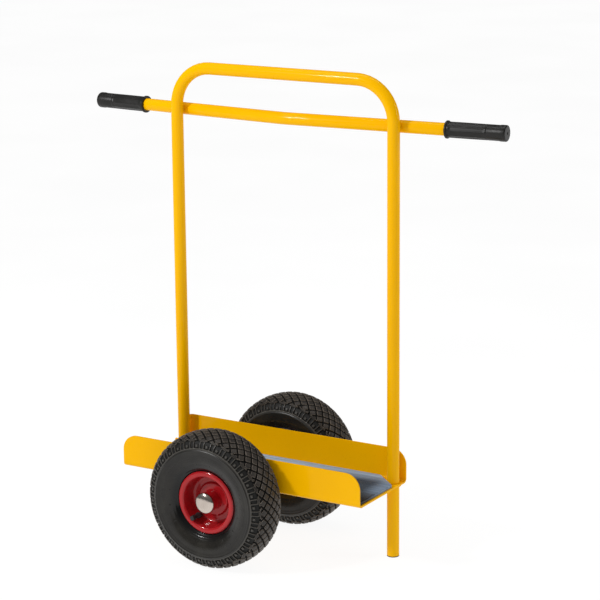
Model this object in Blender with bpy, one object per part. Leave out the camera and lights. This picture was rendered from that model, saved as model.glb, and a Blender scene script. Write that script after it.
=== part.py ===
"""Two-wheeled board trolley: a bent tube frame with a cross handle stands in a folded steel channel that
carries boards on edge, on two pneumatic wheels turning freely on one axle.

Metres. X runs along the channel, +Y is the side where the frame stands, +Z is up.
The origin is on the ground, half way between the wheels and half way between the two legs.
"""

from math import asin, cos, pi, radians, sin, sqrt, tan

import bmesh
import bpy
from mathutils import Vector

# Clearance that stands between two pieces that touch on the real trolley.
GAP = 0.0003

# Push frame: one bent tube.
FRAME_HEIGHT = 0.900
LEG_SPACING = 0.465
FRAME_TUBE_OD = 0.023
FRAME_TUBE_WALL = 0.002
CORNER_RADIUS = 0.074
LEG_TO_WALL = 0.0085
SHORT_LEG_STUB = 0.006
FOOT_RIM = 0.0012
FOOT_PLUG_DEPTH = 0.020
FOOT_PLUG_WALL = 0.002

# Handle bar behind the legs.
HANDLE_SPAN = 0.8755
HANDLE_BELOW_TOP = 0.094
HANDLE_TUBE_OD = 0.023
HANDLE_TUBE_WALL = 0.002
HANDLE_SWEEP = radians(4.5)
HANDLE_BEND_RADIUS = 0.150
GRIP_LENGTH = 0.1155
GRIP_WALL = 0.00275
GRIP_COLLAR_RISE = 0.002
GRIP_COLLAR_WIDTH = 0.004
GRIP_SWELL = 0.0006
GRIP_END_WALL = 0.004
GRIP_END_ROUND = 0.004

# Channel and its mat. The channel's ends are measured from the legs' outer sides.
CHANNEL_PAST_LEFT_LEG = 0.024
CHANNEL_PAST_RIGHT_LEG = 0.004
CHANNEL_WIDTH = 0.177
CHANNEL_DEPTH = 0.063
CHANNEL_PLATE = 0.003
CHANNEL_BEND = 0.008
CHANNEL_CORNER = 0.030
REAR_WALL_CUT = 0.014
MAT_THICKNESS = 0.0055
MAT_SIDE_MARGIN = 0.0012
MAT_END_MARGIN = 0.004
MAT_CUT_CLEARANCE = 0.0008
MAT_CUT_ANGLE = radians(42)

# Axle and wheels.
AXLE_OD = 0.020
AXLE_SHIFT = -0.0285
AXLE_END_PAST_WASHER = 0.0035
TYRE_TO_CHANNEL = 0.0065
TYRE_OD = 0.259
TYRE_WIDTH = 0.088
TYRE_TREAD = 0.0095
TYRE_SIDE = 0.005
INNER_TUBE_WALL = 0.0016
INNER_TUBE_SLACK = 0.0012
BEAD_RADIUS = 0.0505
BEAD_CHAMFER = 0.0027
BEAD_THICKNESS = 0.008
RIM_SHEET = 0.002
RIM_WIDTH = 0.063
RIM_FLANGE_HEIGHT = 0.00875
RIM_FLANGE_CURVE = 0.0035
RIM_SEAT_CURVE = 0.0022
RIM_DISC_INSET = 0.0125
RIM_DISC_FLAT = 0.007
RIM_BOSS_HEIGHT = 0.004
HUB_LENGTH = 0.060
HUB_WALL = 0.0045
BEARING_WALL = 0.0035
BEARING_LENGTH = 0.024
WASHER_BORDER = 0.005
WASHER_THICKNESS = 0.0016
SPACER_WALL = 0.003
CAP_BORDER = 0.010
CAP_HEIGHT = 0.0090
CAP_SHEET = 0.001
VALVE_TURN = radians(-51)
VALVE_INSET = 0.0085
VALVE_OFFSET = 0.004
VALVE_BEND = 0.009
VALVE_STEM_OD = 0.0085
VALVE_STEM_REACH = 0.0285
VALVE_CAP_OD = 0.0095
VALVE_CAP_LENGTH = 0.009

WELD_LEG = 0.004
WELD_CORE_RADIUS = 0.0048
WELD_EDGE_RADIUS = 0.0090

ROUND_STEPS = 16
SMALL_STEPS = 12
WHEEL_STEPS = 24

# Heights and places that follow from the sizes above.
AXLE_HEIGHT = TYRE_OD / 2
FLOOR_UNDER = AXLE_HEIGHT + AXLE_OD / 2 + GAP
FLOOR_TOP = FLOOR_UNDER + CHANNEL_PLATE
WALL_TOP = FLOOR_UNDER + CHANNEL_DEPTH
WALL_OUTER_Y = CHANNEL_WIDTH / 2
WALL_INNER_Y = WALL_OUTER_Y - CHANNEL_PLATE
LEG_X = LEG_SPACING / 2
LEG_Y = WALL_INNER_Y - LEG_TO_WALL - FRAME_TUBE_OD / 2
CHANNEL_LEFT = -LEG_X - FRAME_TUBE_OD / 2 - CHANNEL_PAST_LEFT_LEG
CHANNEL_RIGHT = LEG_X + FRAME_TUBE_OD / 2 + CHANNEL_PAST_RIGHT_LEG
HANDLE_HEIGHT = FRAME_HEIGHT - HANDLE_BELOW_TOP
HANDLE_Y = LEG_Y + FRAME_TUBE_OD / 2 + HANDLE_TUBE_OD / 2 + GAP * 1.5
GRIP_OD = HANDLE_TUBE_OD + 2 * GRIP_WALL
WHEEL_Y = WALL_OUTER_Y + TYRE_TO_CHANNEL + TYRE_WIDTH / 2
BEARING_OD = AXLE_OD + 2 * BEARING_WALL
HUB_OD = BEARING_OD + 2 * HUB_WALL
HUB_INNER_END = WHEEL_Y - HUB_LENGTH / 2
HUB_OUTER_END = WHEEL_Y + HUB_LENGTH / 2
OUTER_WASHER_END = HUB_OUTER_END + GAP + WASHER_THICKNESS
FLANGE_RADIUS = BEAD_RADIUS + RIM_FLANGE_HEIGHT
DISC_RADIUS = BEAD_RADIUS - RIM_DISC_INSET
BOSS_RADIUS = DISC_RADIUS - RIM_DISC_FLAT
VALVE_RADIUS = BEAD_RADIUS - VALVE_INSET
# Distance from the wheel's middle to the inside of the rim's flange, less room for the tyre's bead.
BEAD_FACE = RIM_WIDTH / 2 - RIM_SHEET * 1.5 - GAP * 2


def clear_scene():
    for obj in list(bpy.data.objects):
        bpy.data.objects.remove(obj, do_unlink=True)


def paint(name, colour, roughness, metallic=0.0):
    material = bpy.data.materials.get(name)
    if material:
        return material
    material = bpy.data.materials.new(name)
    material.use_nodes = True
    shader = material.node_tree.nodes["Principled BSDF"]
    shader.inputs["Base Color"].default_value = (*colour, 1.0)
    shader.inputs["Roughness"].default_value = roughness
    shader.inputs["Metallic"].default_value = metallic
    material.diffuse_color = (*colour, 1.0)
    return material


def yellow_paint():
    return paint("yellow_paint", (0.90, 0.48, 0.01), 0.30)


def red_paint():
    return paint("red_paint", (0.50, 0.02, 0.03), 0.22)


def black_plastic():
    return paint("black_plastic", (0.02, 0.02, 0.022), 0.5)


def mat_rubber():
    return paint("mat_rubber", (0.035, 0.04, 0.05), 0.65)


def tyre_rubber():
    return paint("tyre_rubber", (0.04, 0.037, 0.034), 0.75)


def zinc_plate():
    return paint("zinc_plate", (0.62, 0.62, 0.60), 0.3, 1.0)


def nickel_plate():
    return paint("nickel_plate", (0.66, 0.60, 0.54), 0.12, 1.0)


def empty(name, location, turn_z=0.0):
    axis = bpy.data.objects.new(name, None)
    axis.location = location
    axis.rotation_euler = (0, 0, turn_z)
    bpy.context.collection.objects.link(axis)
    return axis


def add(name, bm, material, parent=None, location=(0, 0, 0)):
    """Turns a bmesh into a named object with faces pointing out, smooth where it is round."""
    bmesh.ops.remove_doubles(bm, verts=bm.verts, dist=1e-6)
    bmesh.ops.recalc_face_normals(bm, faces=bm.faces)
    mesh = bpy.data.meshes.new(name)
    bm.to_mesh(mesh)
    bm.free()
    mesh.materials.append(material)
    mesh.shade_smooth()
    mesh.set_sharp_from_angle(angle=radians(35))
    obj = bpy.data.objects.new(name, mesh)
    obj.location = location
    obj.parent = parent
    bpy.context.collection.objects.link(obj)
    return obj


def cut(obj, tool_bm, name):
    """Takes the tool's shape out of the object with an exact Boolean."""
    tool = add(name, tool_bm, black_plastic(), parent=obj.parent)
    tool.hide_render = True
    tool.display_type = "WIRE"
    modifier = obj.modifiers.new(name, "BOOLEAN")
    modifier.operation = "DIFFERENCE"
    modifier.solver = "EXACT"
    modifier.object = tool
    return tool


def skin(bm, rings, around=True, along=False, caps=True):
    """Joins rings of points with quads, and caps the first and the last ring unless they are joined too."""
    grid = [[bm.verts.new(point) for point in ring] for ring in rings]
    runs = len(grid) if along else len(grid) - 1
    for i in range(runs):
        near, far = grid[i], grid[(i + 1) % len(grid)]
        count = len(near)
        for j in range(count if around else count - 1):
            k = (j + 1) % count
            bm.faces.new((near[j], near[k], far[k], far[j]))
    if caps and not along:
        bm.faces.new(grid[0])
        bm.faces.new(grid[-1])
    return bm


def turned(profile, steps, closed=True):
    """A body turned about Y from (radius, y) points. An open profile starts and ends on the axis."""
    rings = []
    for i in range(steps):
        angle = 2 * pi * i / steps
        rings.append([(r * cos(angle), y, r * sin(angle)) for r, y in profile])
    return skin(bmesh.new(), rings, around=closed, along=True)


def stacked(levels, steps):
    """A solid about Y from levels of (y, radius)."""
    rings = []
    for y, radius in levels:
        turns = [2 * pi * i / steps for i in range(steps)]
        rings.append([(radius * cos(a), y, radius * sin(a)) for a in turns])
    return skin(bmesh.new(), rings)


def tube_rings(stations, radius, steps):
    """Rings square to each station's direction. The runs stay flat, so one side direction serves them all."""
    rings = []
    for point, direction, side in stations:
        point, direction, side = Vector(point), Vector(direction).normalized(), Vector(side).normalized()
        other = direction.cross(side)
        ring = []
        for i in range(steps):
            angle = 2 * pi * i / steps
            ring.append(point + side * radius * cos(angle) + other * radius * sin(angle))
        rings.append(ring)
    return rings


def pipe(stations, outer, inner, steps):
    """A hollow tube, open at both ends."""
    rings = tube_rings(stations, outer, steps) + tube_rings(stations, inner, steps)[::-1]
    return skin(bmesh.new(), rings, along=True)


def arc(centre, radius, start, end, count):
    """Points (a, b) on an arc, ends included."""
    points = []
    for i in range(count + 1):
        angle = start + (end - start) * i / count
        points.append((centre[0] + radius * cos(angle), centre[1] + radius * sin(angle)))
    return points


def thickened(line, thickness):
    """A closed outline that lies half the thickness either side of an open line of (a, b) points."""
    left, right = [], []
    for i, (a, b) in enumerate(line):
        before, after = line[max(i - 1, 0)], line[min(i + 1, len(line) - 1)]
        along = Vector((after[0] - before[0], after[1] - before[1])).normalized()
        corner = 1.0
        if 0 < i < len(line) - 1:
            first = Vector((a - before[0], b - before[1])).normalized()
            corner = max(abs(first.dot(along)), 0.5)
        offset = thickness / 2 / corner
        left.append((a - along.y * offset, b + along.x * offset))
        right.append((a + along.y * offset, b - along.x * offset))
    return left + right[::-1]


def push_frame():
    """Up the short left leg, across the top and down the long right leg, which ends at the foot plug."""
    r = FRAME_TUBE_OD / 2
    top = FRAME_HEIGHT - r
    bend = min(CORNER_RADIUS, LEG_X - r)
    side = (0, 1, 0)
    stations = [((-LEG_X, LEG_Y, FLOOR_UNDER - SHORT_LEG_STUB), (0, 0, 1), side)]
    count = 8
    for i in range(count + 1):
        angle = pi - pi / 2 * i / count
        x = -LEG_X + bend + bend * cos(angle)
        stations.append(((x, LEG_Y, top - bend + bend * sin(angle)), (sin(angle), 0, -cos(angle)), side))
    for i in range(count + 1):
        angle = pi / 2 - pi / 2 * i / count
        x = LEG_X - bend + bend * cos(angle)
        stations.append(((x, LEG_Y, top - bend + bend * sin(angle)), (sin(angle), 0, -cos(angle)), side))
    stations.append(((LEG_X, LEG_Y, FOOT_RIM + GAP), (0, 0, -1), side))
    bm = pipe(stations, r, r - FRAME_TUBE_WALL, ROUND_STEPS)
    return add("push_frame", bm, yellow_paint())


def foot_plug():
    """A plug that is pushed into the long leg, with a rim that stands on the ground."""
    rim = FRAME_TUBE_OD / 2
    plug = FRAME_TUBE_OD / 2 - FRAME_TUBE_WALL - GAP
    hollow = plug - FOOT_PLUG_WALL
    rim_bevel = FOOT_RIM * 0.3
    profile = [(0, 0), (rim - rim_bevel, 0), (rim, rim_bevel), (rim, FOOT_RIM), (plug, FOOT_RIM),
               (plug, FOOT_RIM + FOOT_PLUG_DEPTH), (hollow, FOOT_RIM + FOOT_PLUG_DEPTH),
               (hollow, FOOT_RIM), (0, FOOT_RIM)]
    bm = turned(profile, ROUND_STEPS, closed=False)
    plug_obj = add("foot_plug", bm, black_plastic(), location=(LEG_X, LEG_Y, 0))
    plug_obj.rotation_euler = (pi / 2, 0, 0)
    return plug_obj


def handle_stations(half_span):
    """The bar lies behind both legs and is bent back a little on each side of its middle."""
    bend = HANDLE_BEND_RADIUS
    slope = tan(HANDLE_SWEEP)
    middle_y = HANDLE_Y - LEG_X * slope
    lift = bend * (1 / cos(HANDLE_SWEEP) - 1)
    stations = []
    end_y = middle_y + half_span * slope
    stations.append(((-half_span, end_y, HANDLE_HEIGHT), (cos(HANDLE_SWEEP), -sin(HANDLE_SWEEP), 0), (0, 0, 1)))
    for i in range(-2, 3):
        angle = HANDLE_SWEEP * i / 2
        y = middle_y + lift + bend * (1 - cos(angle))
        stations.append(((bend * sin(angle), y, HANDLE_HEIGHT), (cos(angle), sin(angle), 0), (0, 0, 1)))
    stations.append(((half_span, end_y, HANDLE_HEIGHT), (cos(HANDLE_SWEEP), sin(HANDLE_SWEEP), 0), (0, 0, 1)))
    return stations


def handle_bar():
    half = HANDLE_SPAN / 2 - GRIP_END_WALL
    r = HANDLE_TUBE_OD / 2
    bm = pipe(handle_stations(half), r, r - HANDLE_TUBE_WALL, ROUND_STEPS)
    return add("handle_bar", bm, yellow_paint())


def grip(name, side):
    """A closed-end sleeve on the end of the bar, with a collar at its inner end. Its own Y runs outward."""
    bore = HANDLE_TUBE_OD / 2 + GAP
    body, collar = GRIP_OD / 2, GRIP_OD / 2 + GRIP_COLLAR_RISE
    end, round_off = GRIP_LENGTH, GRIP_END_ROUND
    bottom = end - GRIP_END_WALL + GAP
    profile = [(0, end), (body - round_off, end), (body - round_off * 0.3, end - round_off * 0.25)]
    profile += [(body + GRIP_SWELL, end - round_off), (body, end * 0.80), (body + GRIP_SWELL, end * 0.45)]
    profile += [(body, GRIP_COLLAR_WIDTH * 1.25), (collar, GRIP_COLLAR_WIDTH), (collar, 0)]
    profile += [(bore, 0), (bore, bottom), (0, bottom)]
    reach = HANDLE_SPAN / 2
    start = reach - GRIP_LENGTH * cos(HANDLE_SWEEP)
    y = HANDLE_Y + (start - LEG_X) * tan(HANDLE_SWEEP)
    bm = turned(profile, ROUND_STEPS, closed=False)
    obj = add(name, bm, black_plastic(), location=(side * start, y, HANDLE_HEIGHT))
    obj.rotation_euler = (0, 0, -side * (pi / 2 - HANDLE_SWEEP))
    return obj


def channel_section(top):
    """The folded plate seen along X, as (y, z) points, with its walls cut off at the given height."""
    outer_y, inner_y = WALL_OUTER_Y, WALL_INNER_Y
    bend = max(CHANNEL_BEND, CHANNEL_PLATE * 1.2)
    inside = bend - CHANNEL_PLATE
    count = 4
    low = FLOOR_UNDER + bend
    outline = [(-outer_y, top)]
    outline += arc((-outer_y + bend, low), bend, pi, 1.5 * pi, count)
    outline += arc((outer_y - bend, low), bend, 1.5 * pi, 2 * pi, count)
    outline += [(outer_y, top), (inner_y, top)]
    outline += arc((outer_y - bend, low), inside, 0, -pi / 2, count)
    outline += arc((-outer_y + bend, low), inside, -pi / 2, -pi, count)
    outline += [(-inner_y, top)]
    return outline


def corner_radius():
    return min(CHANNEL_CORNER, CHANNEL_DEPTH - 2 * CHANNEL_BEND)


def load_channel():
    """The plate channel, open at both ends, the top corners of its walls rounded, with a hole for each leg."""
    corner = corner_radius()
    stops = arc((0, 0), corner, pi, pi / 2, 6)
    left = [(CHANNEL_LEFT + corner + a, WALL_TOP - corner + b) for a, b in stops]
    right = [(CHANNEL_RIGHT - corner - a, WALL_TOP - corner + b) for a, b in stops[::-1]]
    rings = [[(x, y, z) for y, z in channel_section(top)] for x, top in left + right]
    channel = add("load_channel", skin(bmesh.new(), rings), yellow_paint())
    for side, name in ((-1, "left_leg_hole"), (1, "right_leg_hole")):
        reach, radius = CHANNEL_PLATE, FRAME_TUBE_OD / 2 + GAP
        hole = [(0, -reach), (radius, -reach), (radius, 2 * reach), (0, 2 * reach)]
        tool = cut(channel, turned(hole, ROUND_STEPS, closed=False), name)
        tool.location = (side * LEG_X, LEG_Y, FLOOR_UNDER)
        tool.rotation_euler = (pi / 2, 0, 0)
    cut(channel, rear_wall_end(), "rear_wall_end")
    return channel


def rear_wall_end():
    """What is cut off the rear wall's left end, so that this wall stops behind the left leg."""
    corner, past = corner_radius(), CHANNEL_PLATE * 3
    end, low = CHANNEL_LEFT + REAR_WALL_CUT, FLOOR_UNDER + CHANNEL_BEND
    outside, above = CHANNEL_LEFT - past, WALL_TOP + past
    outline = [(outside, low), (end, low)]
    outline += [(end + corner + a, WALL_TOP - corner + b) for a, b in arc((0, 0), corner, pi, pi / 2, 6)]
    outline += [(end + corner, above), (outside, above)]
    rings = [[(x, y, z) for x, z in outline] for y in (WALL_INNER_Y - past, WALL_OUTER_Y + past)]
    return skin(bmesh.new(), rings)


def rubber_mat():
    """A flat mat on the floor, with the two corners by the legs cut off on a slant."""
    low, high = FLOOR_TOP + GAP, FLOOR_TOP + GAP + MAT_THICKNESS
    inside = max(CHANNEL_BEND - CHANNEL_PLATE, 0)
    half = WALL_INNER_Y - max(MAT_SIDE_MARGIN, inside * 0.7 + GAP)
    left, right = CHANNEL_LEFT + MAT_END_MARGIN, CHANNEL_RIGHT - MAT_END_MARGIN
    away = FRAME_TUBE_OD / 2 + MAT_CUT_CLEARANCE
    # A point on each slanted line, the given distance from the leg's axis and square to the line.
    touch_x, touch_y = LEG_X - away * sin(MAT_CUT_ANGLE), LEG_Y - away * cos(MAT_CUT_ANGLE)
    slope = tan(MAT_CUT_ANGLE)
    right_y = touch_y - (right - touch_x) * slope
    left_y = touch_y - (-left - touch_x) * slope
    back_x = touch_x - (half - touch_y) / slope
    outline = [(left, -half), (right, -half), (right, right_y), (back_x, half), (-back_x, half), (left, left_y)]
    rings = [[(x, y, z) for x, y in outline] for z in (low, high)]
    return add("rubber_mat", skin(bmesh.new(), rings), mat_rubber())


def leg_weld(name, side):
    """A fillet weld around the leg, under the floor."""
    r = FRAME_TUBE_OD / 2 + GAP
    reach = min(WELD_LEG, SHORT_LEG_STUB)
    profile = [(r, -GAP), (r + WELD_LEG, -GAP), (r + WELD_LEG * 0.4, -GAP - reach * 0.6), (r, -GAP - reach)]
    obj = add(name, turned(profile, ROUND_STEPS), yellow_paint(), location=(side * LEG_X, LEG_Y, FLOOR_UNDER))
    obj.rotation_euler = (pi / 2, 0, 0)
    return obj


def handle_weld(name, side):
    """The weld metal between leg and handle bar: a ring around the point where they touch."""
    leg_r, bar_r = FRAME_TUBE_OD / 2, HANDLE_TUBE_OD / 2
    most = min(WELD_EDGE_RADIUS, 0.8 * leg_r, 0.8 * bar_r)
    reaches = (WELD_CORE_RADIUS, (WELD_CORE_RADIUS + most) / 2, most)
    steps = SMALL_STEPS * 2
    rings = []
    for i in range(steps):
        angle = 2 * pi * i / steps
        ring = []
        for reach in reaches:
            dx, dz = reach * cos(angle), reach * sin(angle)
            ring.append((side * LEG_X + dx, LEG_Y + sqrt(leg_r**2 - dx**2) + GAP, HANDLE_HEIGHT + dz))
        for reach in reaches[::-1]:
            dx, dz = reach * cos(angle), reach * sin(angle)
            bar_y = HANDLE_Y + side * dx * tan(HANDLE_SWEEP)
            back = bar_y - sqrt(bar_r**2 - dz**2) / cos(HANDLE_SWEEP) - GAP
            ring.append((side * LEG_X + dx, back, HANDLE_HEIGHT + dz))
        rings.append(ring)
    return add(name, skin(bmesh.new(), rings, along=True), yellow_paint())


def axle():
    """A plain round bar under the floor, from cap to cap."""
    half = OUTER_WASHER_END + AXLE_END_PAST_WASHER
    r = AXLE_OD / 2
    bevel = AXLE_OD * 0.05
    profile = [(0, -half), (r - bevel, -half), (r, -half + bevel)]
    profile += [(r, half - bevel), (r - bevel, half), (0, half)]
    bm = turned(profile, ROUND_STEPS, closed=False)
    return add("axle", bm, zinc_plate(), location=(AXLE_SHIFT, 0, AXLE_HEIGHT))


def axle_weld(name, side):
    """A fillet weld along the axle, in the corner between it and the floor."""
    r = AXLE_OD / 2 + GAP
    top = AXLE_OD / 2
    face = arc((0, 0), r, asin((top - WELD_LEG * 0.6) / r), asin((top - GAP) / r), 3)
    section = [(side * a, b) for a, b in face]
    section += [(side * face[-1][0], top), (side * (face[0][0] + WELD_LEG * 0.6), top)]
    half = WALL_OUTER_Y - CHANNEL_BEND
    rings = [[(a, y, b) for a, b in section] for y in (-half, half)]
    return add(name, skin(bmesh.new(), rings), yellow_paint(), location=(AXLE_SHIFT, 0, AXLE_HEIGHT))


def ring_piece(name, start, end, border, axis):
    """A plain ring on the axle, from one distance to another outward from the middle."""
    inner, outer = AXLE_OD / 2 + GAP, AXLE_OD / 2 + border
    profile = [(inner, start), (outer, start), (outer, end), (inner, end)]
    return add(name, turned(profile, ROUND_STEPS), zinc_plate(), parent=axis)


def axle_cap(name, axis):
    """A domed cap pressed on the end of the axle."""
    base = OUTER_WASHER_END + GAP
    outer_r = AXLE_OD / 2 + CAP_BORDER
    inner_r, inner_h = outer_r - CAP_SHEET, CAP_HEIGHT - CAP_SHEET
    profile = [(a * outer_r, base + b * CAP_HEIGHT) for a, b in arc((0, 0), 1.0, pi / 2, 0, 5)]
    profile += [(a * inner_r, base + b * inner_h) for a, b in arc((0, 0), 1.0, 0, pi / 2, 5)]
    return add(name, turned(profile, ROUND_STEPS, closed=False), nickel_plate(), parent=axis)


def tyre(name, axis):
    """Open towards the rim, as a tyre is: tread, two walls and two beads that sit inside the flanges."""
    top, flange, half_width, seat = TYRE_OD / 2, FLANGE_RADIUS, TYRE_WIDTH / 2, BEAD_FACE
    height, bulge = top - flange, half_width - seat
    # Each wall's way up, as shares of the height above the flange and of the bulge past it.
    outer_wall = [(0.13, 0.45), (0.30, 0.86), (0.52, 1.0), (0.72, 0.93)]
    inner_wall = [(0.32, 0.86), (0.52, 1.0), (0.72, 0.90)]
    # The crown, as shares of the height and of the half width.
    crown = [(0.86, 0.83), (0.94, 0.62), (0.985, 0.36)]
    outer = [(BEAD_RADIUS + GAP, seat - BEAD_CHAMFER), (BEAD_RADIUS + BEAD_CHAMFER, seat), (flange + GAP, seat)]
    outer += [(flange + up * height, seat + out * bulge) for up, out in outer_wall]
    outer += [(flange + up * height, out * half_width) for up, out in crown] + [(top, 0)]
    toe = seat - BEAD_THICKNESS
    inner = [(BEAD_RADIUS + GAP, toe), (flange + 0.03 * height, toe)]
    inner += [(flange + 0.15 * height, toe + 0.45 * bulge)]
    inner += [(flange + up * height, seat + out * bulge - TYRE_SIDE) for up, out in inner_wall]
    inner += [(top - TYRE_TREAD, half_width * 0.55)]
    half = inner[::-1] + outer
    profile = half + [(r, -y) for r, y in half[-2::-1]]
    return add(name, turned(profile, WHEEL_STEPS), tyre_rubber(), parent=axis)


def inner_tube_section(shrink):
    """The tube's oval section, as (radius, y) points, drawn in by the given amount."""
    low, high = FLANGE_RADIUS + INNER_TUBE_SLACK, TYRE_OD / 2 - TYRE_TREAD - GAP * 3
    middle, tall = (low + high) / 2, (high - low) / 2 - shrink
    wide = (TYRE_WIDTH / 2 - TYRE_SIDE) * 0.89 - shrink
    count = 8
    turns = [2 * pi * i / count for i in range(count)]
    return [(middle - tall * cos(a), wide * sin(a)) for a in turns]


def inner_tube(name, axis):
    """The air tube: hollow, with the hole that its valve stem comes out of."""
    bm = turned(inner_tube_section(0), WHEEL_STEPS)
    hollow = turned(inner_tube_section(INNER_TUBE_WALL), WHEEL_STEPS)
    body = add(name, bm, tyre_rubber(), parent=axis)
    cut(body, hollow, name + "_air")
    low, reach = valve_foot(), INNER_TUBE_WALL * 3
    tool = valve_stations(low + reach, VALVE_STEM_REACH)[:2]
    cut(body, rod(tool, VALVE_STEM_OD / 2 + GAP), name + "_hole")
    return body


def valve_stations(foot, tip):
    """The valve's axis: inward from the tube at a radius, round a bend and out along the axle to a distance."""
    out = Vector((cos(VALVE_TURN), 0, sin(VALVE_TURN)))
    axial = Vector((0, 1, 0))
    side = out.cross(axial)
    centre = out * (VALVE_RADIUS + VALVE_BEND) + axial * (VALVE_OFFSET + VALVE_BEND)
    stations = [(out * foot + axial * VALVE_OFFSET, -out, side)] if foot > VALVE_RADIUS + VALVE_BEND else []
    count = 4
    for i in range(count + 1):
        angle = pi / 2 * i / count
        point = centre - out * VALVE_BEND * sin(angle) - axial * VALVE_BEND * cos(angle)
        stations.append((point, axial * sin(angle) - out * cos(angle), side))
    stations.append((out * VALVE_RADIUS + axial * tip, axial, side))
    return stations


def rod(stations, radius):
    return skin(bmesh.new(), tube_rings(stations, radius, SMALL_STEPS))


def valve_foot():
    """Radius of the inner tube's inner side, where the valve comes out of it."""
    return inner_tube_section(0)[0][0]


def valve_stem(name, axis):
    stations = valve_stations(valve_foot() + INNER_TUBE_WALL * 2, VALVE_STEM_REACH)
    return add(name, rod(stations, VALVE_STEM_OD / 2), black_plastic(), parent=axis)


def valve_cap(name, axis):
    """A plain cap over the stem's end; the stem's thread inside it isn't modelled."""
    r = VALVE_CAP_OD / 2
    levels = [(0, r), (VALVE_CAP_LENGTH * 0.85, r), (VALVE_CAP_LENGTH, r * 0.75)]
    x, z = VALVE_RADIUS * cos(VALVE_TURN), VALVE_RADIUS * sin(VALVE_TURN)
    place = (x, VALVE_STEM_REACH + GAP, z)
    return add(name, stacked(levels, SMALL_STEPS), black_plastic(), parent=axis, location=place)


def rim_line():
    """The pressed sheet's middle line from the hub to the lip of the flange, as (radius, y)."""
    disc = RIM_SHEET / 2 + GAP / 2
    boss = disc + RIM_BOSS_HEIGHT
    edge = RIM_WIDTH / 2 - RIM_SHEET / 2
    seat = BEAD_RADIUS - RIM_SHEET / 2
    wall = seat - DISC_RADIUS
    line = [(HUB_OD / 2 + GAP, boss), (BOSS_RADIUS - RIM_BOSS_HEIGHT * 0.7, boss)]
    line += [(BOSS_RADIUS + RIM_BOSS_HEIGHT * 0.3, disc), (DISC_RADIUS, disc)]
    line += [(DISC_RADIUS + wall * 0.48, disc + edge * 0.12), (DISC_RADIUS + wall * 0.78, edge * 0.36)]
    line += [(seat, edge * 0.86), (seat + RIM_SEAT_CURVE, edge * 0.975)]
    line += [(FLANGE_RADIUS - RIM_FLANGE_CURVE, edge), (FLANGE_RADIUS - RIM_SHEET * 0.2, edge - RIM_SHEET / 2)]
    return line


def rim_half(name, side, axis):
    """One pressed half of the welded rim; side is 1 for the outer half, which has the valve's hole."""
    profile = [(r, side * y) for r, y in thickened(rim_line(), RIM_SHEET)]
    body = add(name, turned(profile, WHEEL_STEPS), red_paint(), parent=axis)
    if side > 0:
        radius = VALVE_STEM_OD / 2 + GAP
        cut(body, rod(valve_stations(0, VALVE_STEM_REACH), radius), name + "_valve_hole")
    return body


def hub_tube(name, axis):
    half, outer, inner = HUB_LENGTH / 2, HUB_OD / 2, BEARING_OD / 2 + GAP
    profile = [(inner, -half), (outer, -half), (outer, half), (inner, half)]
    return add(name, turned(profile, ROUND_STEPS), red_paint(), parent=axis)


def bearing(name, side, axis):
    """A roller bearing as one ring between hub and axle; its rollers aren't modelled apart."""
    outer, inner = BEARING_OD / 2, AXLE_OD / 2 + GAP
    end = HUB_LENGTH / 2 - GAP
    profile = [(inner, end - BEARING_LENGTH), (outer, end - BEARING_LENGTH), (outer, end), (inner, end)]
    return add(name, turned([(r, side * y) for r, y in profile], ROUND_STEPS), zinc_plate(), parent=axis)


def wheel(end, y, turn):
    """Everything that turns together on one end of the axle."""
    axis = empty(end + "_wheel_axis", (AXLE_SHIFT, y, AXLE_HEIGHT), turn)
    tyre(end + "_tyre", axis)
    inner_tube(end + "_inner_tube", axis)
    rim_half(end + "_rim_outer_half", 1, axis)
    rim_half(end + "_rim_inner_half", -1, axis)
    hub_tube(end + "_hub_tube", axis)
    bearing(end + "_outer_bearing", 1, axis)
    bearing(end + "_inner_bearing", -1, axis)
    valve_stem(end + "_valve_stem", axis)
    valve_cap(end + "_valve_cap", axis)


def axle_end(end, turn):
    """The fixed rings between channel and wheel, and the washer and cap outside it."""
    axis = empty(end + "_axle_end", (AXLE_SHIFT, 0, AXLE_HEIGHT), turn)
    washer_end = HUB_INNER_END - GAP
    washer_start = washer_end - WASHER_THICKNESS
    ring_piece(end + "_spacer", WALL_OUTER_Y + GAP, washer_start - GAP, SPACER_WALL, axis)
    ring_piece(end + "_inner_washer", washer_start, washer_end, WASHER_BORDER, axis)
    ring_piece(end + "_outer_washer", HUB_OUTER_END + GAP, OUTER_WASHER_END, WASHER_BORDER, axis)
    axle_cap(end + "_axle_cap", axis)


def main():
    clear_scene()
    push_frame()
    foot_plug()
    handle_bar()
    load_channel()
    rubber_mat()
    axle()
    for side, word in ((-1, "left"), (1, "right")):
        grip(word + "_grip", side)
        handle_weld(word + "_handle_weld", side)
        leg_weld(word + "_leg_weld", side)
        axle_weld(word + "_axle_weld", side)
    for end, side, turn in (("front", -1, pi), ("rear", 1, 0)):
        axle_end(end, turn)
        wheel(end, side * WHEEL_Y, turn)


main()
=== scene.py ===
from math import asin, atan2, cos, pi, radians, sin, sqrt, tan

import bmesh
import bpy
import numpy as np
from mathutils import Matrix, Vector


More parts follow.
